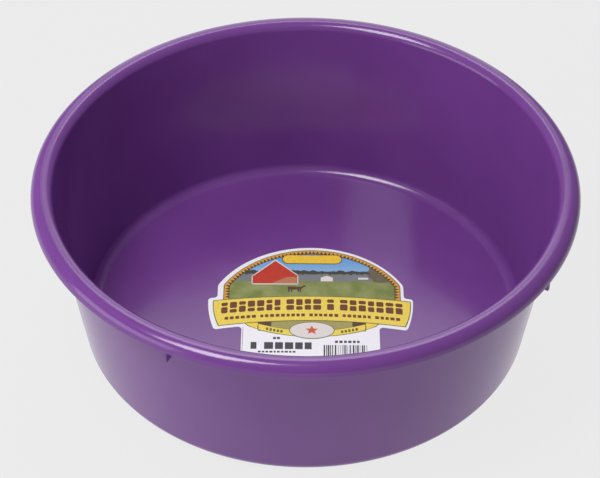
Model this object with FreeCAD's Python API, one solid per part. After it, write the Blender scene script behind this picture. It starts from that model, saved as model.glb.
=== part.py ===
import FreeCAD, Part
import math
import os

# Round feed pan for a stable: one injection-moulded plastic pan with a rolled rim and
# stacking lugs, and the die-cut paper label stuck flat on its floor.
#
# Frame, in millimetres: +Z up, origin on the ground at the middle of the base, +X to the
# right and -Y to the front of the pan, which is the side that the label is read from.

# ---- pan: overall sizes
RIM_DIAMETER = 305.0
HEIGHT = 104.6
WALL_DRAFT = 8.3              # degrees that the wall leans outwards

# ---- pan: thicknesses and rounds
WALL = 1.8
FLOOR = 1.8
FLOOR_ROUND = 6.5             # inside, where the floor turns up into the wall
BASE_ROUND = 8.5              # outside, where the wall turns in under the base
RIM_INNER_ROUND = 5.2         # outside of the bend from the wall to the top of the rim
RIM_FLAT = 1.0                # level strip along the top of the rim, between its two bends
RIM_OUTER_ROUND = 6.1         # outside of the bend from the top of the rim to its skirt
SKIRT_STRAIGHT = 0.6          # upright band of the skirt, below that bend
LIP_ROUND = 0.6               # both edges of the lip, at the foot of the skirt

# ---- pan: underside
FOOT_WIDTH = 6.0              # flat ring that the pan stands on
FOOT_DEPTH = 0.4              # the floor inside the ring is this far off the ground
GATE_RADIUS = 3.0             # trimmed mark where the plastic entered the mould
GATE_DEPTH = 0.25

# ---- pan: stacking lugs under the rim
LUG_THICKNESS = 2.0
LUG_DROP = 8.0                # how far a lug hangs below the lip
LUG_SETBACK = 1.5             # how far a lug stays inside the rim's outside
LUG_ROUND = 0.6
LUG_FIRST_ANGLE = -28.2       # degrees from the front, towards +X
LUG_SPACING = 87.5            # first pair to second pair; each pair faces across the pan

# ---- label
LABEL_THICKNESS = 0.15
LABEL_MIDDLE_X = 3.4          # stuck a little to the right of the pan's middle
LABEL_MIDDLE_Y = 0.0
ARCH_WIDTH = 110.0
ARCH_TOP = 52.6               # heights are from the label's own middle
ARCH_SPRING = 18.9            # height at which the arch springs from its upright sides
ARCH_SHOULDER = 8.0           # round at that height
BANNER_TOP_WIDTH = 120.6
BANNER_BOTTOM_WIDTH = 112.4
BANNER_BULGE = 1.2            # how far each end of the banner bows out
BANNER_TOP = 12.0
BANNER_TOP_DROP = 4.5         # how far the banner's top edge falls from middle to end
BANNER_BOTTOM = -13.3
BANNER_BOTTOM_DROP = 5.6
TAB_WIDTH = 80.2
TAB_BOTTOM = -56.0
LABEL_CORNER = 2.2

# ---- worked out from the sizes above
DRAFT_SLOPE = math.tan(math.radians(WALL_DRAFT))
BEND_REACH = math.tan(math.radians((90 - WALL_DRAFT) / 2))    # length a wall bend takes, per radius
WALL_ACROSS = WALL / math.cos(math.radians(WALL_DRAFT))       # wall thickness, measured level
RIM_RADIUS = RIM_DIAMETER / 2
RIM_WIDTH = RIM_INNER_ROUND * BEND_REACH + RIM_FLAT + RIM_OUTER_ROUND
WALL_TOP_RADIUS = RIM_RADIUS - RIM_WIDTH + WALL_ACROSS        # outside, carried up to the rim's top
BASE_RADIUS = WALL_TOP_RADIUS - HEIGHT * DRAFT_SLOPE          # outside, carried down to the ground
FLOOR_TOP = FOOT_DEPTH + FLOOR
LIP_BOTTOM = HEIGHT - RIM_OUTER_ROUND - SKIRT_STRAIGHT - LIP_ROUND
LUG_BOTTOM = LIP_BOTTOM - LUG_DROP

UP = FreeCAD.Vector(0, 0, 1)
ORIGIN = FreeCAD.Vector(0, 0, 0)


def wall_outside(height):
    """Radius of the outside of the sloping wall at a height."""
    return BASE_RADIUS + height * DRAFT_SLOPE


def wall_inside(height):
    return wall_outside(height) - WALL_ACROSS


def wall_middle(height):
    return wall_outside(height) - WALL_ACROSS / 2


def section_face(corners):
    """Face in the X-Z plane from (radius, height, round) corners, with each corner rounded."""
    points = [FreeCAD.Vector(radius, 0, height) for radius, height, rounding in corners]
    edges = []
    last_point = None
    first_point = None
    for index, (radius, height, rounding) in enumerate(corners):
        corner = points[index]
        back = (points[index - 1] - corner).normalize()
        ahead = (points[(index + 1) % len(points)] - corner).normalize()
        if rounding > 0:
            half_angle = back.getAngle(ahead) / 2
            reach = rounding / math.tan(half_angle)
            start = corner + back * reach
            end = corner + ahead * reach
            inward = (back + ahead).normalize()
            middle = corner + inward * (rounding / math.sin(half_angle) - rounding)
        else:
            start = corner
            end = corner
        if last_point is not None:
            edges.append(Part.LineSegment(last_point, start).toShape())
        else:
            first_point = start
        if rounding > 0:
            edges.append(Part.Arc(start, middle, end).toShape())
        last_point = end
    edges.append(Part.LineSegment(last_point, first_point).toShape())
    return Part.Face(Part.Wire(edges))


def pan_shell():
    """Floor, wall, rolled rim and skirt, turned about the upright axis."""
    skirt_inside = RIM_RADIUS - WALL
    rim_underside = HEIGHT - WALL
    foot_inside = BASE_RADIUS - BASE_ROUND * BEND_REACH - FOOT_WIDTH
    corners = [
        (0, FLOOR_TOP, 0),
        (wall_inside(FLOOR_TOP), FLOOR_TOP, FLOOR_ROUND),
        (wall_inside(HEIGHT), HEIGHT, RIM_INNER_ROUND),
        (RIM_RADIUS, HEIGHT, RIM_OUTER_ROUND),
        (RIM_RADIUS, LIP_BOTTOM, LIP_ROUND),
        (skirt_inside, LIP_BOTTOM, LIP_ROUND),
        (skirt_inside, rim_underside, RIM_OUTER_ROUND - WALL),
        (wall_outside(rim_underside), rim_underside, RIM_INNER_ROUND - WALL),
        (BASE_RADIUS, 0, BASE_ROUND),
        (foot_inside, 0, 0),
        (foot_inside - FOOT_DEPTH, FOOT_DEPTH, 0),
        (0, FOOT_DEPTH, 0),
    ]
    return section_face(corners).revolve(ORIGIN, UP, 360)


def stacking_lug(angle):
    """Upright plate in the hollow of the rim, rooted in the wall, the rim and the skirt."""
    reach = RIM_RADIUS - LUG_SETBACK
    root_height = HEIGHT - WALL / 2
    setback_in_band = LUG_SETBACK - WALL / 2
    corners = [
        (wall_middle(LUG_BOTTOM), LUG_BOTTOM, 0),
        (reach, LUG_BOTTOM, LUG_ROUND),
        (reach, root_height, RIM_OUTER_ROUND - WALL / 2 - setback_in_band),
        (wall_middle(root_height), root_height, RIM_INNER_ROUND - WALL / 2),
    ]
    plate = section_face(corners).extrude(FreeCAD.Vector(0, LUG_THICKNESS, 0))
    plate.translate(FreeCAD.Vector(0, -LUG_THICKNESS / 2, 0))
    plate.rotate(ORIGIN, UP, angle - 90)
    return plate


def gate_mark():
    bottom = FreeCAD.Vector(0, 0, FOOT_DEPTH - GATE_DEPTH)
    return Part.makeCylinder(GATE_RADIUS, GATE_DEPTH + FLOOR / 2, bottom)


def pan():
    pair_angles = [LUG_FIRST_ANGLE, LUG_FIRST_ANGLE + LUG_SPACING]
    lugs = [stacking_lug(angle + half_turn) for half_turn in (0, 180) for angle in pair_angles]
    return pan_shell().fuse(lugs + [gate_mark()])


def label_point(x, y):
    """Point on the label's underside, from its own middle."""
    return FreeCAD.Vector(LABEL_MIDDLE_X + x, LABEL_MIDDLE_Y + y, FLOOR_TOP)


def label_plate(edges):
    face = Part.Face(Part.Wire(edges))
    return face.extrude(FreeCAD.Vector(0, 0, LABEL_THICKNESS))


def arch_plate():
    """Upper part of the label: upright sides under one wide arc."""
    side = ARCH_WIDTH / 2
    low_left = label_point(-side, 0)
    low_right = label_point(side, 0)
    high_right = label_point(side, ARCH_SPRING)
    high_left = label_point(-side, ARCH_SPRING)
    crown = label_point(0, ARCH_TOP)
    plate = label_plate([
        Part.LineSegment(low_left, low_right).toShape(),
        Part.LineSegment(low_right, high_right).toShape(),
        Part.Arc(high_right, crown, high_left).toShape(),
        Part.LineSegment(high_left, low_left).toShape(),
    ])
    half_way = (low_left.y + high_left.y) / 2
    shoulders = [edge for edge in upright_edges(plate) if edge.CenterOfMass.y > half_way]
    return plate.makeFillet(ARCH_SHOULDER, shoulders)


def banner_plate():
    """Middle part: a bowed band, narrower below, with bulging ends."""
    top_side = BANNER_TOP_WIDTH / 2
    bottom_side = BANNER_BOTTOM_WIDTH / 2
    top = BANNER_TOP - BANNER_TOP_DROP
    bottom = BANNER_BOTTOM - BANNER_BOTTOM_DROP
    end_middle = (top_side + bottom_side) / 2 + BANNER_BULGE
    half_height = (top + bottom) / 2
    top_left = label_point(-top_side, top)
    top_right = label_point(top_side, top)
    bottom_right = label_point(bottom_side, bottom)
    bottom_left = label_point(-bottom_side, bottom)
    return label_plate([
        Part.Arc(top_left, label_point(0, BANNER_TOP), top_right).toShape(),
        Part.Arc(top_right, label_point(end_middle, half_height), bottom_right).toShape(),
        Part.Arc(bottom_right, label_point(0, BANNER_BOTTOM), bottom_left).toShape(),
        Part.Arc(bottom_left, label_point(-end_middle, half_height), top_left).toShape(),
    ])


def tab_plate():
    """Lower part: a plain rectangle that starts behind the banner."""
    corner = label_point(-TAB_WIDTH / 2, TAB_BOTTOM)
    return Part.makeBox(TAB_WIDTH, -TAB_BOTTOM, LABEL_THICKNESS, corner)


def upright_edges(shape):
    return [edge for edge in shape.Edges if edge.BoundBox.XLength + edge.BoundBox.YLength < 1e-6]


def label():
    """One die-cut sheet: arch, banner and tab in one outline with rounded corners."""
    sheet = banner_plate().fuse([arch_plate(), tab_plate()]).removeSplitter()
    sharp = [edge for edge in upright_edges(sheet) if not smooth_join(sheet, edge)]
    return sheet.makeFillet(LABEL_CORNER, sharp)


def smooth_join(shape, edge):
    """True where the two side faces that share an upright edge run on without a corner."""
    sides = [face for face in shape.Faces if any(other.isSame(edge) for other in face.Edges)]
    normals = []
    for face in sides:
        u, v = face.Surface.parameter(edge.CenterOfMass)
        normals.append(face.normalAt(u, v))
    return normals[0].getAngle(normals[1]) < math.radians(1)


def export_parts(parts):
    os.makedirs("parts", exist_ok=True)
    for name, shape in parts.items():
        shape.exportStep(os.path.join("parts", name + ".step"))
        box = shape.BoundBox
        sizes = (name, box.XLength, box.YLength, box.ZLength, shape.Volume / 1000, len(shape.Solids))
        print("%-8s %7.2f x %7.2f x %7.2f mm, %7.2f cm3, %d solid" % sizes)


export_parts({
    "pan": pan(),
    "label": label(),
})
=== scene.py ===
# %% [markdown]
# # A round feed pan with a picture label
# The real thing is one low plastic pan, moulded in a single shot, with a printed paper label
# stuck flat on its floor. The design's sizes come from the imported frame, which is loaded first
# and never moved. This lesson then builds what the eye sees around it: the glossy skin of the
# pan as one turned shape, and the label's print as thin layers of ink on the paper.

# %% Load the frame
import math
import random

import bmesh
import bpy
from mathutils import Matrix, Vector


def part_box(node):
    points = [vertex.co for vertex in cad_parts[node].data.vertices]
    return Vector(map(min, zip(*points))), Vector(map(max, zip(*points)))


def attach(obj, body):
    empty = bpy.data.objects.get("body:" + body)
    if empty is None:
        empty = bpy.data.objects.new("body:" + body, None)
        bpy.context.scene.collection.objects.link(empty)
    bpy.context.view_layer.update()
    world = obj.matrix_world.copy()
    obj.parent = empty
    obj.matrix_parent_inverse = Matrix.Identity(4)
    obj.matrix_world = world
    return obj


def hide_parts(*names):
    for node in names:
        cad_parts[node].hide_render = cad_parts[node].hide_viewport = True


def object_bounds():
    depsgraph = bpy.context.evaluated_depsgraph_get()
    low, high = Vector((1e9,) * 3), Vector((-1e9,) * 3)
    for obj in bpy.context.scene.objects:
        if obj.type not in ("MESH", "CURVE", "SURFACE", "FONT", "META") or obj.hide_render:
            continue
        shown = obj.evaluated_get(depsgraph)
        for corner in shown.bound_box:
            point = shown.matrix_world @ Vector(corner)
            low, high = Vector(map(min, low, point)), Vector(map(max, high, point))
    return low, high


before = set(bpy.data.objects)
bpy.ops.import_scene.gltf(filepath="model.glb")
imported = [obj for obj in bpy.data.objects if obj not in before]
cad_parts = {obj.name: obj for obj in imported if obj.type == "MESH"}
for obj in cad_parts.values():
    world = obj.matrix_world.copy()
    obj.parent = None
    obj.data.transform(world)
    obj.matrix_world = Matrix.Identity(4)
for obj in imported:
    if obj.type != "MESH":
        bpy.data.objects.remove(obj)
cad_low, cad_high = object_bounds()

MM = 0.001
scene = bpy.context.scene
print("frame:", sorted(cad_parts), "box", [round(v, 4) for v in (*cad_low, *cad_high)])

# %% [markdown]
# ## Camera
# A long lens from a little over a metre away, looking down at about 42 degrees, keeps the rim's
# ellipse calm and still shows the floor, the far wall and the outside of the near wall. The
# angles are plain turns about X, Y and Z in degrees, so the camera needs no target object.

# %% Place the camera
CAMERA_PLACE = Vector((0, -0.8912, 0.8471))
CAMERA_TURNS = (48.413, -0.195, 0.365)
SENSOR_WIDTH = 36
FOCAL_LENGTH = 125.37

camera_data = bpy.data.cameras.new("camera")
camera_data.sensor_width = SENSOR_WIDTH
camera_data.lens = FOCAL_LENGTH
camera = bpy.data.objects.new("camera", camera_data)
camera.location = CAMERA_PLACE
camera.rotation_euler = [math.radians(angle) for angle in CAMERA_TURNS]
scene.collection.objects.link(camera)
scene.camera = camera
print("camera is", round(CAMERA_PLACE.length, 3), "m from the pan's foot")

# %% [markdown]
# ## Node helper
# Every finish below is a small tree of shader nodes. Writing each node as three or four
# statements hides the idea of the finish, so one helper adds a node, sets its options and fills
# its inputs. An input that is given a socket is linked, and any other value is typed in.

# %% Add a shader node
def add(tree, kind, inputs=None, **options):
    """Adds a node; inputs maps a socket's name or number to a value or another node's socket."""
    node = tree.nodes.new(kind)
    for option, value in options.items():
        setattr(node, option, value)
    for key, value in (inputs or {}).items():
        socket = node.inputs[key]
        if isinstance(value, bpy.types.NodeSocket):
            tree.links.new(value, socket)
        else:
            socket.default_value = value
    return node


def linear(red, green, blue):
    """A screen colour, 0 to 255 a channel, as the linear values that shaders use."""
    channels = []
    for level in (red / 255, green / 255, blue / 255):
        low = level / 12.92
        channels.append(low if level <= 0.04045 else ((level + 0.055) / 1.055) ** 2.4)
    return (*channels, 1)


def new_material(name):
    """A material with one principled surface, and the position on the object to read."""
    material = bpy.data.materials.new(name)
    material.use_nodes = True
    tree = material.node_tree
    tree.nodes.clear()
    surface = add(tree, "ShaderNodeBsdfPrincipled")
    add(tree, "ShaderNodeOutputMaterial", {"Surface": surface.outputs["BSDF"]})
    place = add(tree, "ShaderNodeTexCoord").outputs["Object"]
    return material, tree, surface, place


def blend_colours(tree, factor, first, second):
    """Mixes two colours; the factor may be a socket or a number."""
    mixer = add(tree, "ShaderNodeMix", {0: factor, 6: first, 7: second}, data_type="RGBA")
    return mixer.outputs[2]


def maths(tree, operation, first, second):
    return add(tree, "ShaderNodeMath", {0: first, 1: second}, operation=operation).outputs[0]


def remap(tree, value, from_low, from_high, to_low=0.0, to_high=1.0):
    """Stretches one range of numbers onto another, and holds still outside it."""
    ranges = {0: value, 1: from_low, 2: from_high, 3: to_low, 4: to_high}
    return add(tree, "ShaderNodeMapRange", ranges).outputs[0]


print("half grey on a screen is", round(linear(128, 128, 128)[0], 2), "in linear light")

# %% [markdown]
# ## Floor and light
# Gloss plastic shows what it reflects more than its own colour. Here it reflects one softbox,
# high on the left, a white sweep that rises behind the pan with a second softbox above it, a
# weaker reflector on the left, and a pale floor. The first softbox is bright and fairly small,
# because a big dim one would turn the crisp lines along the rim into a haze. The floor glows
# like a light table, so the pan throws almost no shadow. Its glow fades out on the right, which
# is painted shade: it stands in for the pan's shadow on the floor there. The wall reflects it,
# which keeps the right of the pan's wall deeper in colour. The floor lies a hair below the
# pan's foot, so the two faces don't flicker through each other.

# %% Lay the floor
FLOOR_HALF = 4.0
FLOOR_GAP = 0.3 * MM
FLOOR_GREY = (0.035, 0.035, 0.035, 1)
FADE_START, FADE_END = 0.3, 0.9
GLOW, SHADED_GLOW = 0.795, 0.3

floor_mesh = bpy.data.meshes.new("floor")
floor_form = bmesh.new()
bmesh.ops.create_grid(floor_form, x_segments=1, y_segments=1, size=FLOOR_HALF)
bmesh.ops.translate(floor_form, verts=floor_form.verts, vec=(0, 0, cad_low.z - FLOOR_GAP))
floor_form.to_mesh(floor_mesh)
floor_form.free()
floor = bpy.data.objects.new("floor", floor_mesh)
scene.collection.objects.link(floor)
floor_material, tree, surface, place = new_material("pale_floor")
surface.inputs["Base Color"].default_value = FLOOR_GREY
surface.inputs["Roughness"].default_value = 1
surface.inputs["Specular IOR Level"].default_value = 0
surface.inputs["Emission Color"].default_value = (1, 1, 1, 1)
to_the_right = add(tree, "ShaderNodeSeparateXYZ", {"Vector": place}).outputs["X"]
# Painted shade: the glow drops towards the right, in place of the pan's shadow on the floor.
glow = remap(tree, to_the_right, FADE_START, FADE_END, GLOW, SHADED_GLOW)
tree.links.new(glow, surface.inputs["Emission Strength"])
floor_mesh.materials.append(floor_material)
scene.view_settings.view_transform = "Standard"
print("floor glows at", GLOW, "and fades to", SHADED_GLOW, "at", FADE_END, "m to the right")


# %% Hang the lights
ROOM_LIGHT = (0.27, 0.27, 0.28, 1)


def flat_light(name, azimuth, elevation, distance, width, height, brightness):
    """A flat light that faces the pan, in degrees and metres.

    The azimuth runs from the front towards +X. Brightness is radiance: white paper has about 1.
    """
    data = bpy.data.lights.new(name, "AREA")
    data.shape = "RECTANGLE"
    data.size = width
    data.size_y = height
    data.energy = brightness * math.pi * width * height
    around, up = math.radians(azimuth), math.radians(elevation)
    level = math.cos(up)
    towards = Vector((math.sin(around) * level, -math.cos(around) * level, math.sin(up)))
    light = bpy.data.objects.new(name, data)
    light.location = towards * distance
    light.rotation_mode = "QUATERNION"
    light.rotation_quaternion = towards.to_track_quat("Z", "Y")
    scene.collection.objects.link(light)
    print(name, "shines", round(data.energy), "W")


flat_light("softbox", -53, 65, 1.3, 0.48, 0.6, 12.5)
flat_light("sweep", 180, 20, 1.6, 1.1, 1.3, 1.2)
flat_light("back_softbox", 180, 53, 1.6, 0.62, 0.45, 3.6)
flat_light("left_reflector", -68, 12, 1.6, 1.3, 0.9, 2.4)
world = bpy.data.worlds.new("studio")
world.use_nodes = True
world.node_tree.nodes["Background"].inputs["Color"].default_value = ROOM_LIGHT
scene.world = world

# %% [markdown]
# ## Pan: the moulded plastic
# Coloured polypropylene comes out of a polished mould with a wet-looking gloss. Up close it is
# never perfect: the skin ripples a little where it shrank, the pigment drifts in soft clouds,
# and handling leaves faint hair scratches that dull the gloss. Each of these is one noise: a
# wide one for the colour, a fine one for the ripple and a stretched one for the scratches.

# %% Mix the plastic
DEEP_PURPLE = (0.152, 0.043, 0.240, 1)
LIGHT_PURPLE = (0.170, 0.050, 0.264, 1)
CLOUD_SCALE = 22
HAIR_SCALE = 90
HAIR_STRETCH = (1, 14, 14)
RIPPLE_SCALE = 160
RIPPLE_HEIGHT = 0.02 * MM


def pan_plastic():
    material, tree, surface, place = new_material("pan_plastic")
    clouds = add(tree, "ShaderNodeTexNoise", {"Vector": place, "Scale": CLOUD_SCALE, "Detail": 3})
    drift = remap(tree, clouds.outputs[0], 0.3, 0.7)
    purple = blend_colours(tree, drift, DEEP_PURPLE, LIGHT_PURPLE)
    tree.links.new(purple, surface.inputs["Base Color"])

    slant = {"Vector": place, "Rotation": (0.3, 0.2, 0.7), "Scale": HAIR_STRETCH}
    streaks = add(tree, "ShaderNodeMapping", slant).outputs[0]
    hairs = add(tree, "ShaderNodeTexNoise", {"Vector": streaks, "Scale": HAIR_SCALE, "Detail": 4})
    scratched = remap(tree, hairs.outputs[0], 0.62, 0.75, 0.0, 0.10)
    haze = remap(tree, clouds.outputs[0], 0.3, 0.7, 0.15, 0.19)
    tree.links.new(maths(tree, "ADD", haze, scratched), surface.inputs["Roughness"])

    ripple = add(tree, "ShaderNodeTexNoise", {"Vector": place, "Scale": RIPPLE_SCALE, "Detail": 2})
    relief = {"Strength": 0.25, "Distance": RIPPLE_HEIGHT, "Height": ripple.outputs[0]}
    bump = add(tree, "ShaderNodeBump", relief)
    tree.links.new(bump.outputs[0], surface.inputs["Normal"])
    return material


plastic = pan_plastic()
print("plastic finish:", len(plastic.node_tree.nodes), "nodes")

# %% [markdown]
# ## Pan: the turned section
# The pan is a turned shape, so it could be modelled as a bent tube and a disc, or cut from a
# solid. A section that is drawn once and spun is closer to the mould, and it keeps the wall the
# same thickness everywhere. The section starts as a few sharp corners. Each corner then gets its
# own round from a vertex bevel, as a draughtsman would add radii. The rim, the height and the
# floor are read from the frame, and the other sizes repeat the design's own.

# %% Sizes of the section
pan_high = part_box("pan")[1]
RIM_RADIUS = pan_high.x
HEIGHT = pan_high.z
WALL = 1.8 * MM
FLOOR_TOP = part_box("label")[0].z
DRAFT = math.radians(8.3)
FLOOR_ROUND = 6.5 * MM
BASE_ROUND = 8.5 * MM
RIM_INNER_ROUND = 5.2 * MM
RIM_FLAT = 1.0 * MM
RIM_OUTER_ROUND = 6.1 * MM
LIP_ROUND = 0.6 * MM
SKIRT_STRAIGHT = 0.6 * MM
FOOT_WIDTH = 6.0 * MM
FOOT_DEPTH = 0.4 * MM
GATE_RADIUS = 3.0 * MM
GATE_DEPTH = 0.25 * MM

BEND_REACH = math.tan((math.pi / 2 - DRAFT) / 2)
WALL_ACROSS = WALL / math.cos(DRAFT)
LIP_BOTTOM = HEIGHT - RIM_OUTER_ROUND - SKIRT_STRAIGHT - LIP_ROUND
WALL_TOP = RIM_RADIUS - RIM_OUTER_ROUND - RIM_FLAT - RIM_INNER_ROUND * BEND_REACH


def wall_inside(height):
    """Radius of the bowl's side of the wall at a height."""
    return WALL_TOP - (HEIGHT - height) * math.tan(DRAFT)


def wall_outside(height):
    return wall_inside(height) + WALL_ACROSS


print("wall is", round(wall_outside(0) * 2000, 1), "mm across at the ground")


# %% Draw and spin the section
ARC_STEP = 0.45 * MM
FEWEST_ARC_STEPS = 5
SPIN_STEPS = 192
SAME_PLACE = 1e-6
NO_LENGTH = 1e-7


def rounded_section(corners):
    """A flat face in the X-Z plane from (radius, height, round) corners, with the rounds cut."""
    form = bmesh.new()
    points = [form.verts.new((radius, 0, height)) for radius, height, _ in corners]
    form.faces.new(points)
    for point, (_, _, rounding) in zip(points, corners):
        if rounding > 0:
            before, after = [edge.other_vert(point).co - point.co for edge in point.link_edges]
            reach = rounding / math.tan(before.angle(after) / 2)
            segments = max(FEWEST_ARC_STEPS, round(rounding / ARC_STEP))
            bmesh.ops.bevel(form, geom=[point], offset=reach, offset_type="OFFSET",
                            segments=segments, profile=0.5, affect="VERTICES", material=-1)
    return form


def pan_section():
    """Corners of the pan's wall, from the middle of the floor over the rim and back below."""
    under_rim = HEIGHT - WALL
    skirt_inside = RIM_RADIUS - WALL
    foot_inside = wall_outside(0) - BASE_ROUND * BEND_REACH - FOOT_WIDTH
    return [
        (0, FLOOR_TOP, 0),
        (wall_inside(FLOOR_TOP), FLOOR_TOP, FLOOR_ROUND),
        (wall_inside(HEIGHT), HEIGHT, RIM_INNER_ROUND),
        (RIM_RADIUS, HEIGHT, RIM_OUTER_ROUND),
        (RIM_RADIUS, LIP_BOTTOM, LIP_ROUND),
        (skirt_inside, LIP_BOTTOM, LIP_ROUND),
        (skirt_inside, under_rim, RIM_OUTER_ROUND - WALL),
        (wall_outside(under_rim), under_rim, RIM_INNER_ROUND - WALL),
        (wall_outside(0), 0, BASE_ROUND),
        (foot_inside, 0, 0),
        (foot_inside - FOOT_DEPTH, FOOT_DEPTH, 0),
        (GATE_RADIUS, FOOT_DEPTH, 0),
        (GATE_RADIUS, FOOT_DEPTH - GATE_DEPTH, 0),
        (0, FOOT_DEPTH - GATE_DEPTH, 0),
    ]


def spun_pan():
    """The whole shell, turned about the upright axis and closed at both poles."""
    form = rounded_section(pan_section())
    on_axis = [edge for edge in form.edges if all(vert.co.x < NO_LENGTH for vert in edge.verts)]
    bmesh.ops.delete(form, geom=list(form.faces), context="FACES_ONLY")
    bmesh.ops.delete(form, geom=on_axis, context="EDGES")
    bmesh.ops.spin(form, geom=form.verts[:] + form.edges[:], cent=(0, 0, 0), axis=(0, 0, 1),
                   dvec=(0, 0, 0), angle=2 * math.pi, steps=SPIN_STEPS, use_merge=True)
    bmesh.ops.remove_doubles(form, verts=form.verts, dist=SAME_PLACE)
    bmesh.ops.recalc_face_normals(form, faces=form.faces)
    return form


def to_object(form, name, *materials):
    """Turns a bmesh into an object in the scene, with its materials."""
    mesh = bpy.data.meshes.new(name)
    form.to_mesh(mesh)
    form.free()
    for material in materials:
        mesh.materials.append(material)
    piece = bpy.data.objects.new(name, mesh)
    scene.collection.objects.link(piece)
    return piece


shell = to_object(spun_pan(), "moulded_pan", plastic)
print("spun shell:", len(shell.data.polygons), "faces")

# %% [markdown]
# ## Pan: stacking lugs
# Four small upright plates hang in the hollow of the rim, so that nested pans don't jam. Each is
# a flat section that is extruded to its thickness, with its edges softened, turned to its place
# and then joined to the shell with a boolean union, because in the mould they are one shot.

# %% Shape the lugs and join them
LUG_THICKNESS = 2.0 * MM
LUG_DROP = 8.0 * MM
LUG_BOTTOM = LIP_BOTTOM - LUG_DROP
LUG_SETBACK = 1.5 * MM
LUG_ROUND = 0.6 * MM
LUG_SOFT_EDGE = 0.3 * MM
LUG_FIRST_ANGLE = -28.2
LUG_SPACING = 87.5
SHARPEST_SMOOTH_ANGLE = 40


def stacking_lug(angle):
    """One plate, rooted in wall, rim and skirt; its angle is from the front, towards +X."""
    reach = RIM_RADIUS - LUG_SETBACK
    root = HEIGHT - WALL / 2
    mid_wall = WALL_ACROSS / 2
    form = rounded_section([
        (wall_inside(LUG_BOTTOM) + mid_wall, LUG_BOTTOM, 0),
        (reach, LUG_BOTTOM, LUG_ROUND),
        (reach, root, RIM_OUTER_ROUND - LUG_SETBACK),
        (wall_inside(root) + mid_wall, root, RIM_INNER_ROUND - WALL / 2),
    ])
    raised = bmesh.ops.extrude_face_region(form, geom=form.faces[:], use_keep_orig=True)
    moved = [item for item in raised["geom"] if isinstance(item, bmesh.types.BMVert)]
    bmesh.ops.translate(form, verts=moved, vec=(0, LUG_THICKNESS, 0))
    bmesh.ops.translate(form, verts=form.verts, vec=(0, -LUG_THICKNESS / 2, 0))
    bmesh.ops.recalc_face_normals(form, faces=form.faces)
    level = [edge for edge in form.edges
             if abs(edge.verts[0].co.y - edge.verts[1].co.y) < NO_LENGTH]
    bmesh.ops.bevel(form, geom=level, offset=LUG_SOFT_EDGE, offset_type="OFFSET", segments=2,
                    profile=0.5, affect="EDGES", material=-1)
    turn = Matrix.Rotation(math.radians(angle - 90), 3, "Z")
    bmesh.ops.rotate(form, verts=form.verts, cent=(0, 0, 0), matrix=turn)
    return to_object(form, "lug", plastic)


def join_to_shell(shell, extra):
    """Boolean union; the joined mesh replaces the shell's own, and the extra piece goes."""
    union = shell.modifiers.new("one_shot", "BOOLEAN")
    union.operation = "UNION"
    union.solver = "EXACT"
    union.object = extra
    bpy.context.view_layer.update()
    seen = shell.evaluated_get(bpy.context.evaluated_depsgraph_get())
    joined = bpy.data.meshes.new_from_object(seen)
    shell.modifiers.clear()
    shell.data = joined
    bpy.data.objects.remove(extra)


for pair in (LUG_FIRST_ANGLE, LUG_FIRST_ANGLE + LUG_SPACING):
    for half_turn in (0, 180):
        join_to_shell(shell, stacking_lug(pair + half_turn))

for polygon in shell.data.polygons:
    polygon.use_smooth = True
shell.data.set_sharp_from_angle(angle=math.radians(SHARPEST_SMOOTH_ANGLE))
weighted = shell.modifiers.new("true_flats", "WEIGHTED_NORMAL")
weighted.keep_sharp = True
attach(shell, "root")
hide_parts("pan")
print("pan with lugs:", len(shell.data.polygons), "faces")

# %% [markdown]
# ## Label: the paper
# The label is a die-cut sheet of coated paper. Its outline is already exact in the frame, so the
# sheet stays as it is and only gets its finish: a bright white with a faint fibre, under a thin
# varnish that is smoother than the paper. The finish goes into the sheet's own material slot.

# %% Finish the paper
FIBRE_SCALE = 1400
FIBRE_HEIGHT = 0.01 * MM
PAPER_SHADE = linear(236, 235, 238)
PAPER_LIGHT = linear(247, 246, 249)


def label_paper():
    material, tree, surface, place = new_material("label_paper")
    fibre = add(tree, "ShaderNodeTexNoise", {"Vector": place, "Scale": FIBRE_SCALE, "Detail": 4})
    tone = remap(tree, fibre.outputs[0], 0.3, 0.7)
    white = blend_colours(tree, tone, PAPER_SHADE, PAPER_LIGHT)
    tree.links.new(white, surface.inputs["Base Color"])
    gloss = remap(tree, fibre.outputs[0], 0.3, 0.7, 0.42, 0.5)
    tree.links.new(gloss, surface.inputs["Roughness"])
    relief = {"Strength": 0.2, "Distance": FIBRE_HEIGHT, "Height": fibre.outputs[0]}
    bump = add(tree, "ShaderNodeBump", relief)
    tree.links.new(bump.outputs[0], surface.inputs["Normal"])
    surface.inputs["Coat Weight"].default_value = 0.3
    surface.inputs["Coat Roughness"].default_value = 0.2
    return material


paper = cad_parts["label"]
paper.material_slots[0].material = label_paper()
paper_low, paper_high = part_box("label")
print("label is", [round(v * 1000, 1) for v in paper_high - paper_low], "mm")

# %% [markdown]
# ## Label: inks
# Print on a label is flat colour made of tiny dots, a little uneven in strength. Each ink is one
# colour that drifts slightly with a fine noise, with the gloss drifting in step. The print itself
# could be one painted picture, but thin plates of ink, one on top of the other, keep every edge
# sharp at any distance.

# %% Mix the inks
DOT_SCALE = 1800


def dull_varnish(surface):
    """The label's thin varnish, which every ink lies under."""
    surface.inputs["Specular IOR Level"].default_value = 0.3
    surface.inputs["Coat Weight"].default_value = 0.1
    surface.inputs["Coat Roughness"].default_value = 0.2


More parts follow.
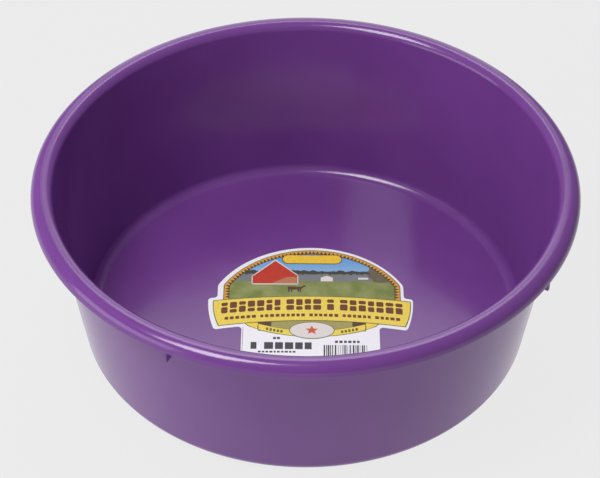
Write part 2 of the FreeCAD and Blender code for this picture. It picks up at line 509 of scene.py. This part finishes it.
def ink(name, colour, unevenness=0.12):
    """One flat colour that is a little stronger here and weaker there."""
    material, tree, surface, place = new_material(name)
    dots = add(tree, "ShaderNodeTexNoise", {"Vector": place, "Scale": DOT_SCALE, "Detail": 2})
    strength = remap(tree, dots.outputs[0], 0.3, 0.7)
    thin = [min(1.0, level * (1 + unevenness) + 0.01) for level in colour[:3]] + [1]
    full = [level * (1 - unevenness) for level in colour[:3]] + [1]
    tree.links.new(blend_colours(tree, strength, thin, full), surface.inputs["Base Color"])
    gloss = remap(tree, dots.outputs[0], 0.3, 0.7, 0.5, 0.4)
    tree.links.new(gloss, surface.inputs["Roughness"])
    dull_varnish(surface)
    return material


yellow = ink("banner_yellow", linear(240, 212, 80))
gold = ink("border_gold", linear(214, 160, 54))
badge_yellow = ink("badge_yellow", linear(238, 196, 44))
brown = ink("lettering_brown", linear(104, 52, 18))
dark_brown = ink("border_brown", linear(82, 48, 22))
outline_green = ink("outline_green", linear(88, 96, 42))
shade_green = ink("shade_green", linear(162, 154, 88))
barn_red = ink("barn_red", linear(192, 44, 8))
barn_side = ink("barn_side", linear(186, 118, 80))
trim_white = ink("trim_white", linear(226, 218, 212), 0.03)
orange = ink("mark_orange", linear(206, 84, 40))
grey_black = ink("size_black", linear(58, 58, 62))
print("inks mixed, the first is", yellow.name)

# %% Lay a plate of ink
PRINT_MIDDLE = 4.2 * MM
INK_STEP = 0.015 * MM
LAYERS = ["ground", "band", "line", "picture", "shapes", "trim", "ribbon",
          "banner line", "banner", "words", "badge", "face", "mark"]


def lay_ink(form, name, layer, *inks):
    """Puts a flat form on the paper and raises it to its layer's height."""
    bmesh.ops.translate(form, verts=form.verts, vec=(PRINT_MIDDLE, 0, paper_high.z))
    for face in form.faces:
        if face.normal.z < 0:
            face.normal_flip()
    piece = to_object(form, name, *inks)
    plate = piece.modifiers.new("ink", "SOLIDIFY")
    plate.thickness = (LAYERS.index(layer) + 1) * INK_STEP
    plate.offset = 1
    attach(piece, "root")


def outline(form, points, material=0):
    """A flat face from a few corners, in millimetres from the print's middle."""
    face = form.faces.new([form.verts.new((x * MM, y * MM, 0)) for x, y in points])
    face.material_index = material
    face.normal_update()


def block(form, left, right, bottom, top, material=0):
    """An upright oblong, in millimetres from the print's middle."""
    outline(form, [(left, bottom), (right, bottom), (right, top), (left, top)], material)


print(len(LAYERS), "layers of ink, each", round(INK_STEP / MM, 3), "mm higher than the last")

# %% [markdown]
# ## Label: farm view
# The arch holds a small farm view. It could be built leaf by leaf, but at this size a painter
# would dab it in, so it is one ink whose colour is chosen by height: sky, far trees, a pale
# hedge and a meadow. A noise added to the height makes each edge ragged, and one round tree
# crown on the right is chosen by distance.

# %% Paint the farm view
SKY_LOW, SKY_HIGH = 28 * MM, 46 * MM
TREE_LINE = 32 * MM
HEDGE_LINE = 29 * MM
GRASS_LINE = 22.5 * MM
CROWN_FOOT = 22 * MM
CROWN_MIDDLE = (47 * MM, 30 * MM, 0)
CROWN_RADIUS = 9.5 * MM
TREE_RAGGED, GRASS_RAGGED, CROWN_RAGGED = 1.6 * MM, 1.0 * MM, 3 * MM


def below(tree, height, line, lower, upper):
    """The lower colour under a line and the upper one above it."""
    return blend_colours(tree, maths(tree, "LESS_THAN", height, line), upper, lower)


def farm_view():
    material, tree, surface, place = new_material("farm_view")
    spots = add(tree, "ShaderNodeSeparateXYZ", {"Vector": place})
    up = spots.outputs["Y"]
    leafy = {"Vector": place, "Scale": 420, "Detail": 5}
    leaves = add(tree, "ShaderNodeTexNoise", leafy).outputs[0]
    cloudy = {"Vector": place, "Scale": 90, "Detail": 3}
    soft = add(tree, "ShaderNodeTexNoise", cloudy).outputs[0]

    height = remap(tree, up, SKY_LOW, SKY_HIGH)
    sky = blend_colours(tree, height, linear(146, 186, 218), linear(80, 150, 216))
    ragged = remap(tree, leaves, 0.2, 0.8, -TREE_RAGGED, TREE_RAGGED)
    trees_top = maths(tree, "ADD", up, ragged)
    far_trees = blend_colours(tree, leaves, linear(42, 46, 40), linear(78, 74, 62))
    hedge = blend_colours(tree, soft, linear(132, 134, 150), linear(104, 112, 92))
    tuft = remap(tree, soft, 0.35, 0.65)
    grass = blend_colours(tree, tuft, linear(116, 128, 58), linear(148, 154, 94))
    waving = remap(tree, soft, 0.3, 0.7, -GRASS_RAGGED, GRASS_RAGGED)
    grass_top = maths(tree, "ADD", up, waving)

    view = below(tree, trees_top, TREE_LINE, far_trees, sky)
    view = below(tree, trees_top, HEDGE_LINE, hedge, view)
    view = below(tree, grass_top, GRASS_LINE, grass, view)

    reach = {0: place, 1: CROWN_MIDDLE}
    from_crown = add(tree, "ShaderNodeVectorMath", reach, operation="DISTANCE")
    leafy_edge = remap(tree, leaves, 0.2, 0.8, -CROWN_RAGGED, CROWN_RAGGED)
    crown = maths(tree, "ADD", from_crown.outputs["Value"], leafy_edge)
    in_crown = maths(tree, "LESS_THAN", crown, CROWN_RADIUS)
    above_grass = maths(tree, "GREATER_THAN", grass_top, CROWN_FOOT)
    foliage = blend_colours(tree, leaves, linear(70, 66, 48), linear(128, 118, 92))
    crown_here = maths(tree, "MULTIPLY", in_crown, above_grass)
    view = blend_colours(tree, crown_here, view, foliage)
    tree.links.new(view, surface.inputs["Base Color"])
    gloss = remap(tree, leaves, 0.2, 0.8, 0.42, 0.5)
    tree.links.new(gloss, surface.inputs["Roughness"])
    dull_varnish(surface)
    return material


view_ink = farm_view()
print("farm view:", len(view_ink.node_tree.nodes), "nodes")

# %% [markdown]
# ## Label: arch and border
# A gold border with a row of dark teeth runs round the view. The arch starts as a disc that is
# cut by planes at its sides and foot, and gets its shoulders from a vertex bevel. The border is
# the same arch four times, each a little smaller and one layer higher: a dark line, the gold
# band, a second line and the view. Insets of one face would do the same, but they tangle where
# the short edges of a shoulder meet.

# %% Cut the arch and its border
ARCH_HALF_WIDTH = 52.4
ARCH_TOP = 50.4
ARCH_RADIUS = 59.6
ARCH_FOOT = 3.0
ARCH_SHOULDER = 1.6
ARCH_STEPS = 180
LINE = 0.45
BAND = 2.7


def cut(form, point, normal):
    """Cuts away everything on the side that the normal points to."""
    everything = form.verts[:] + form.edges[:] + form.faces[:]
    bmesh.ops.bisect_plane(form, geom=everything, plane_co=point, plane_no=normal,
                           clear_outer=True)


def arch_form(inset):
    """The arch, moved inwards all round; its foot stays, because the banner hides it."""
    side = (ARCH_HALF_WIDTH - inset) * MM
    form = bmesh.new()
    bmesh.ops.create_circle(form, cap_ends=True, radius=(ARCH_RADIUS - inset) * MM,
                            segments=ARCH_STEPS)
    bmesh.ops.translate(form, verts=form.verts, vec=(0, (ARCH_TOP - ARCH_RADIUS) * MM, 0))
    cut(form, (side, 0, 0), (1, 0, 0))
    cut(form, (-side, 0, 0), (-1, 0, 0))
    cut(form, (0, ARCH_FOOT * MM, 0), (0, -1, 0))
    above_foot = ARCH_FOOT * MM + SAME_PLACE
    shoulders = [vert for vert in form.verts
                 if abs(vert.co.x) > side - SAME_PLACE and vert.co.y > above_foot]
    bmesh.ops.bevel(form, geom=shoulders, offset=ARCH_SHOULDER * MM, offset_type="OFFSET",
                    segments=5, profile=0.5, affect="VERTICES", material=-1)
    return form


border = (("arch_outer_line", 0, dark_brown), ("arch_band", LINE, gold),
          ("arch_inner_line", LINE + BAND, dark_brown), ("arch_picture", LINE * 2 + BAND, view_ink))
for layer, (name, inset, fill) in zip(LAYERS, border):
    lay_ink(arch_form(inset), name, layer, fill)

inner_line = arch_form(LINE + BAND)
picture_edge = [loop.vert.co.copy() for loop in inner_line.faces[:][0].loops]
inner_line.free()
print("arch drawn, picture edge has", len(picture_edge), "points")

# %% Set the teeth along the border
TOOTH_SPACING = 2.35
TOOTH_WIDTH = 1.9
TOOTH_HEIGHT = 2.3
LOWEST_TOOTH = 7.0
ARCH_HEART = Vector((0, 20 * MM, 0))


def walk(points, spacing):
    """Places and directions at equal steps along a closed line."""
    ahead = spacing / 2
    for start, end in zip(points, points[1:] + points[:1]):
        length = (end - start).length
        direction = (end - start).normalized()
        while ahead < length:
            yield start + direction * ahead, direction
            ahead += spacing
        ahead -= length


teeth = bmesh.new()
for foot, direction in walk(picture_edge, TOOTH_SPACING * MM):
    if foot.y > LOWEST_TOOTH * MM:
        outward = Vector((direction.y, -direction.x, 0))
        if outward.dot(foot - ARCH_HEART) < 0:
            outward = -outward
        half = direction * TOOTH_WIDTH / 2 * MM
        teeth.faces.new([teeth.verts.new(foot - half), teeth.verts.new(foot + half),
                         teeth.verts.new(foot + outward * TOOTH_HEIGHT * MM)])
teeth.normal_update()
tooth_count = len(teeth.faces)
lay_ink(teeth, "border_teeth", "shapes", dark_brown)
print("border has", tooth_count, "teeth")

# %% [markdown]
# ## Label: barn, meadow and plain badge
# A plain gabled barn stands at the left of the view, with two pale sheds and a small horse in
# the meadow beyond, so the view has some depth. A yellow badge hangs at the top where a maker
# would put a name, and it stays blank. All of them are drawn from a few corners, in millimetres
# from the print's middle. The badge gets its round ends from a vertex bevel as deep as half its
# height, or almost, because two rounds that meet in a point would leave a face with no width.

# %% Draw the barn and the meadow
BARN_FRONT = [(-35.6, 20.2), (-8.6, 20.2), (-8.6, 28.0), (-22.0, 41.2), (-35.6, 27.2)]
BARN_SIDE = [(-24.5, 20.6), (-9.2, 20.6), (-9.2, 26.4), (-15.0, 26.4)]
LEFT_EAVE = [(-36.2, 26.9), (-35.6, 26.7), (-22.0, 40.7), (-22.0, 41.8)]
RIGHT_EAVE = [(-22.0, 41.8), (-22.0, 40.7), (-8.6, 27.6), (-8.0, 27.8)]
SHED = [(5.2, 22.8), (12.4, 22.8), (12.4, 26.0), (8.8, 27.8), (5.2, 26.0)]
LOW_SHED = (27.5, 33.5, 24.6, 26.2)
HORSE_BODY = (-14.4, -6.4, 15.4, 18.0)
HORSE_HEAD = [(-6.4, 15.8), (-4.7, 17.8), (-3.2, 18.0), (-4.4, 19.5), (-6.4, 18.0)]
HORSE_LEGS = (-14.2, -12.5, -8.6, -7.4)
LEG_WIDTH = 0.9
GROUND = 13.4

barn = bmesh.new()
outline(barn, BARN_FRONT)
lay_ink(barn, "barn_front", "shapes", barn_red)

# In the trim, material 0 is the barn's side and material 1 its white boards.
barn_detail = bmesh.new()
outline(barn_detail, BARN_SIDE, 0)
block(barn_detail, -36.0, -8.2, 19.8, 20.6, 1)
block(barn_detail, -36.0, -35.4, 20.2, 27.4, 1)
block(barn_detail, -8.8, -8.2, 20.2, 28.2, 1)
outline(barn_detail, LEFT_EAVE, 1)
outline(barn_detail, RIGHT_EAVE, 1)
lay_ink(barn_detail, "barn_trim", "trim", barn_side, trim_white)

meadow = bmesh.new()
outline(meadow, SHED, 0)
block(meadow, *LOW_SHED, 0)
block(meadow, *HORSE_BODY, 1)
for leg in HORSE_LEGS:
    block(meadow, leg, leg + LEG_WIDTH, GROUND, HORSE_BODY[2], 1)
outline(meadow, HORSE_HEAD, 1)
lay_ink(meadow, "sheds_and_horse", "shapes", trim_white, dark_brown)
print("barn with a gable", BARN_FRONT[3][1], "mm up, and a horse on", len(HORSE_LEGS), "legs")

# %% Hang the blank badge
BADGE_HALF_WIDTH = 17.6
BADGE_BOTTOM = 38.5
BADGE_TOP = 45.7
BADGE_RIM = 0.5
NEARLY_ROUND = 0.98


def badge(name, layer, grow, fill):
    """An oblong with round ends; grow makes it larger all round."""
    side = BADGE_HALF_WIDTH + grow
    form = bmesh.new()
    block(form, -side, side, BADGE_BOTTOM - grow, BADGE_TOP + grow)
    ends = ((BADGE_TOP - BADGE_BOTTOM) / 2 + grow) * NEARLY_ROUND * MM
    bmesh.ops.bevel(form, geom=form.verts[:], offset=ends, offset_type="OFFSET", segments=10,
                    profile=0.5, affect="VERTICES", material=-1)
    lay_ink(form, name, layer, fill)


badge("top_badge_rim", "badge", BADGE_RIM, dark_brown)
badge("top_badge_face", "face", 0, badge_yellow)
print("badge is", 2 * BADGE_HALF_WIDTH, "mm wide")

# %% [markdown]
# ## Label: banner and its words
# A wide yellow banner bows across the middle, narrower below, with ends that swell a little. It
# is one grid whose points are moved by a formula, and the rows of words ride on the same bow. The
# words are greeked: plain blocks where letters would be, in groups of uneven width.

# %% Bend the banner
BANNER_TOP_HALF = 58.2
BANNER_BOTTOM_HALF = 54.6
BANNER_TOP = 9.9
BANNER_BOTTOM = -11.2
BANNER_TOP_DROP = 4.3
BANNER_BOTTOM_DROP = 4.9
BANNER_BULGE = 1.2
BANNER_LINE = 0.5


def on_banner(across, up, inset):
    """Place on the banner in millimetres: across runs from -1 to 1 and up from 0 to 1."""
    half = BANNER_BOTTOM_HALF + (BANNER_TOP_HALF - BANNER_BOTTOM_HALF) * up
    half += BANNER_BULGE * 4 * up * (1 - up) - inset
    top = BANNER_TOP - BANNER_TOP_DROP * across ** 2 - inset
    bottom = BANNER_BOTTOM - BANNER_BOTTOM_DROP * across ** 2 + inset
    return across * half, bottom + (top - bottom) * up


def banner_form(inset):
    """The banner as a grid of faces, moved inwards all round by the inset."""
    form = bmesh.new()
    bmesh.ops.create_grid(form, x_segments=48, y_segments=8, size=1)
    for vert in form.verts:
        x, y = on_banner(vert.co.x, (vert.co.y + 1) / 2, inset)
        vert.co = (x * MM, y * MM, 0)
    form.normal_update()
    return form


lay_ink(banner_form(0), "banner_outline", "banner line", outline_green)
lay_ink(banner_form(BANNER_LINE), "banner_field", "banner", yellow)
print("banner is", round(2 * BANNER_TOP_HALF, 1), "mm wide along its top")

# %% Set the rows of greeked words
ROW_BOW = 4.5
WORD_SPACE = 1.8
BLOCK_ROUND = 0.09


def greeked_row(name, letters, left, right, bottom, top, gap, slit, seed):
    """A row of blocks on the banner's bow; letters gives the count in each word.

    Each block is slit across at a height of its own, which gives the row the busy
    texture of type without drawing any letter. Spaces are counted in gaps.
    """
    chance = random.Random(seed)
    spaces = len(letters) - 1
    count = sum(letters)
    room = right - left - gap * (count - 1) - WORD_SPACE * gap * spaces
    weights = [chance.uniform(0.85, 1.15) for _ in range(count)]
    form = bmesh.new()
    x = left
    index = 0
    for word in letters:
        for weight in weights[index:index + word]:
            end = x + room * weight / sum(weights)
            middle = bottom + (top - bottom) * chance.choice((0.38, 0.5, 0.62))
            for low, high in ((bottom, middle - slit / 2), (middle + slit / 2, top)):
                corners = [(x, low), (end, low), (end, high), (x, high)]
                outline(form, [(px, py - ROW_BOW * (px / BANNER_TOP_HALF) ** 2)
                               for px, py in corners])
            x = end + gap
        x += WORD_SPACE * gap
        index += word
    bmesh.ops.bevel(form, geom=form.verts[:], offset=BLOCK_ROUND * (top - bottom) * MM,
                    offset_type="OFFSET", segments=2, profile=0.5, affect="VERTICES", material=-1)
    lay_ink(form, name, "words", brown)


greeked_row("big_words", (7, 4, 1, 7), left=-53.2, right=53.2, bottom=-1.9, top=7.2,
            gap=1.25, slit=0.9, seed=3)
greeked_row("small_words", (6, 9, 6, 6, 5), left=-51.0, right=51.5, bottom=-7.5, top=-5.1,
            gap=0.9, slit=0.0, seed=5)
print("two rows of words set")

# %% [markdown]
# ## Label: ribbon and oval
# Below the banner hangs a folded ribbon with an oval in its middle. The ribbon is the same kind
# of bent grid as the banner, bowed the other way. Its two tails tuck in behind the banner, and a
# dark wedge of shadow sits behind each fold. A maker would put a mark in the oval, so this one
# only has a plain star.

# %% Fold the ribbon
RIBBON_HALF = 31.4
RIBBON_LOW = -24.6
RIBBON_RISE = 5.6
RIBBON_WIDTH = 5.3
RIBBON_LINE = 0.35
FOLD = RIBBON_HALF
TAIL_TOP = -11.0
SHADOW_END = 23.6


def ribbon_form(inset):
    """The ribbon's front and its two tails; inset leaves a fine line of the layer below."""
    form = bmesh.new()
    bmesh.ops.create_grid(form, x_segments=30, y_segments=1, size=1)
    for vert in form.verts:
        low = RIBBON_LOW + RIBBON_RISE * vert.co.x ** 2
        up = low + inset if vert.co.y < 0 else low + RIBBON_WIDTH - inset
        vert.co = (vert.co.x * (RIBBON_HALF - inset) * MM, up * MM, 0)
    for side in (-1, 1):
        tail = [(FOLD, TAIL_TOP), (41.5 - 2 * inset, TAIL_TOP),
                (37.2 - inset, -15.9 + inset), (FOLD + inset, -18.6 + inset)]
        outline(form, [(side * x, y) for x, y in tail])
    return form


backing = bmesh.new()
block(backing, -FOLD, FOLD, -19.8, -10.5)
lay_ink(backing, "ribbon_backing", "line", shade_green)
wedges = bmesh.new()
for side in (-1, 1):
    outline(wedges, [(side * FOLD, TAIL_TOP), (side * FOLD, -14.2),
                     (side * SHADOW_END, -17.4), (side * SHADOW_END, TAIL_TOP)])
lay_ink(wedges, "ribbon_shadow", "trim", dark_brown)
lay_ink(ribbon_form(0), "ribbon_outline", "ribbon", outline_green)
lay_ink(ribbon_form(RIBBON_LINE), "ribbon_field", "banner line", yellow)
print("ribbon is", 2 * RIBBON_HALF, "mm wide between its folds")

# %% Set the ribbon's words and the oval
LETTER_COUNT = 5
FIRST_LETTER = 17.6
LETTER_STEP = 2.1
LETTER_HALF_WIDTH = 0.65
LETTER_HEIGHT = 2.2
LETTER_LIFT = 1.5
OVAL_MIDDLE = -19.2
STAR_RADIUS = 3.9
STAR_WAIST = 0.45

ribbon_words = bmesh.new()
for side in (-1, 1):
    for step in range(LETTER_COUNT):
        x = side * FIRST_LETTER + side * step * LETTER_STEP
        up = RIBBON_LOW + RIBBON_RISE * (x / RIBBON_HALF) ** 2 + LETTER_LIFT
        block(ribbon_words, x - LETTER_HALF_WIDTH, x + LETTER_HALF_WIDTH, up, up + LETTER_HEIGHT)
lay_ink(ribbon_words, "ribbon_words", "banner", outline_green)


def oval(name, half_width, half_height, layer, fill):
    """A disc that is stretched to an oval."""
    form = bmesh.new()
    bmesh.ops.create_circle(form, cap_ends=True, radius=1, segments=64)
    bmesh.ops.scale(form, verts=form.verts, vec=(half_width * MM, half_height * MM, 1))
    bmesh.ops.translate(form, verts=form.verts, vec=(0, OVAL_MIDDLE * MM, 0))
    lay_ink(form, name, layer, fill)


oval("oval_rim", 13.2, 7.0, "badge", outline_green)
oval("oval_face", 12.75, 6.55, "face", trim_white)

star = bmesh.new()
bmesh.ops.create_circle(star, cap_ends=True, radius=STAR_RADIUS * MM, segments=10)
for number, vert in enumerate(star.verts):
    if number % 2:
        vert.co *= STAR_WAIST
bmesh.ops.translate(star, verts=star.verts, vec=(0, OVAL_MIDDLE * MM, 0))
lay_ink(star, "oval_star", "mark", orange)
print("oval and star laid at", OVAL_MIDDLE, "mm")

# %% [markdown]
# ## Label: size panel
# The white foot of the label carries the size and a bar code. Both are generic here: a few dark
# blocks stand for the size, and the bars have random widths, so they read as nothing. All of
# them come from one helper that sets blocks side by side, and a fine line runs down the left
# edge of the panel.

# %% Print the size panel
BARS_WIDTH = 25.5


def row_of_blocks(form, left, bottom, top, widths, gap):
    """Blocks side by side, in millimetres; a width below zero is an empty space."""
    x = left
    for width in widths:
        if width > 0:
            block(form, x, x + width, bottom, top)
        x += abs(width) + gap


panel_print = bmesh.new()
block(panel_print, -40.2, -39.95, -55.0, -16.5)
row_of_blocks(panel_print, -35.3, -34.7, -29.1, (3.4, -2.2, 5.2, 4.6, 4.8, 4.4, 4.0), 1.1)
row_of_blocks(panel_print, -22.4, -26.6, -24.8, (1.6, 1.8), 0.6)
row_of_blocks(panel_print, -31.0, -37.6, -36.2,
              (1.6, 1.4, 1.5, 1.8, 1.2, 1.6, 1.4, 1.9, 1.3, 1.6), 0.7)
row_of_blocks(panel_print, 13.4, -29.4, -27.5, (1.7, 1.9, 1.6, 1.9, 1.6, 1.5), 0.8)
bar_widths = []
bars = random.Random(12)
while sum(abs(width) for width in bar_widths) < BARS_WIDTH:
    bar_widths += [bars.choice((0.3, 0.3, 0.6, 0.9)), -bars.choice((0.35, 0.6, 0.9))]
row_of_blocks(panel_print, 6.8, -47.0, -31.2, bar_widths, 0)
lay_ink(panel_print, "size_panel_print", "ground", grey_black)
print("size panel printed with", len(bar_widths) // 2, "bars")
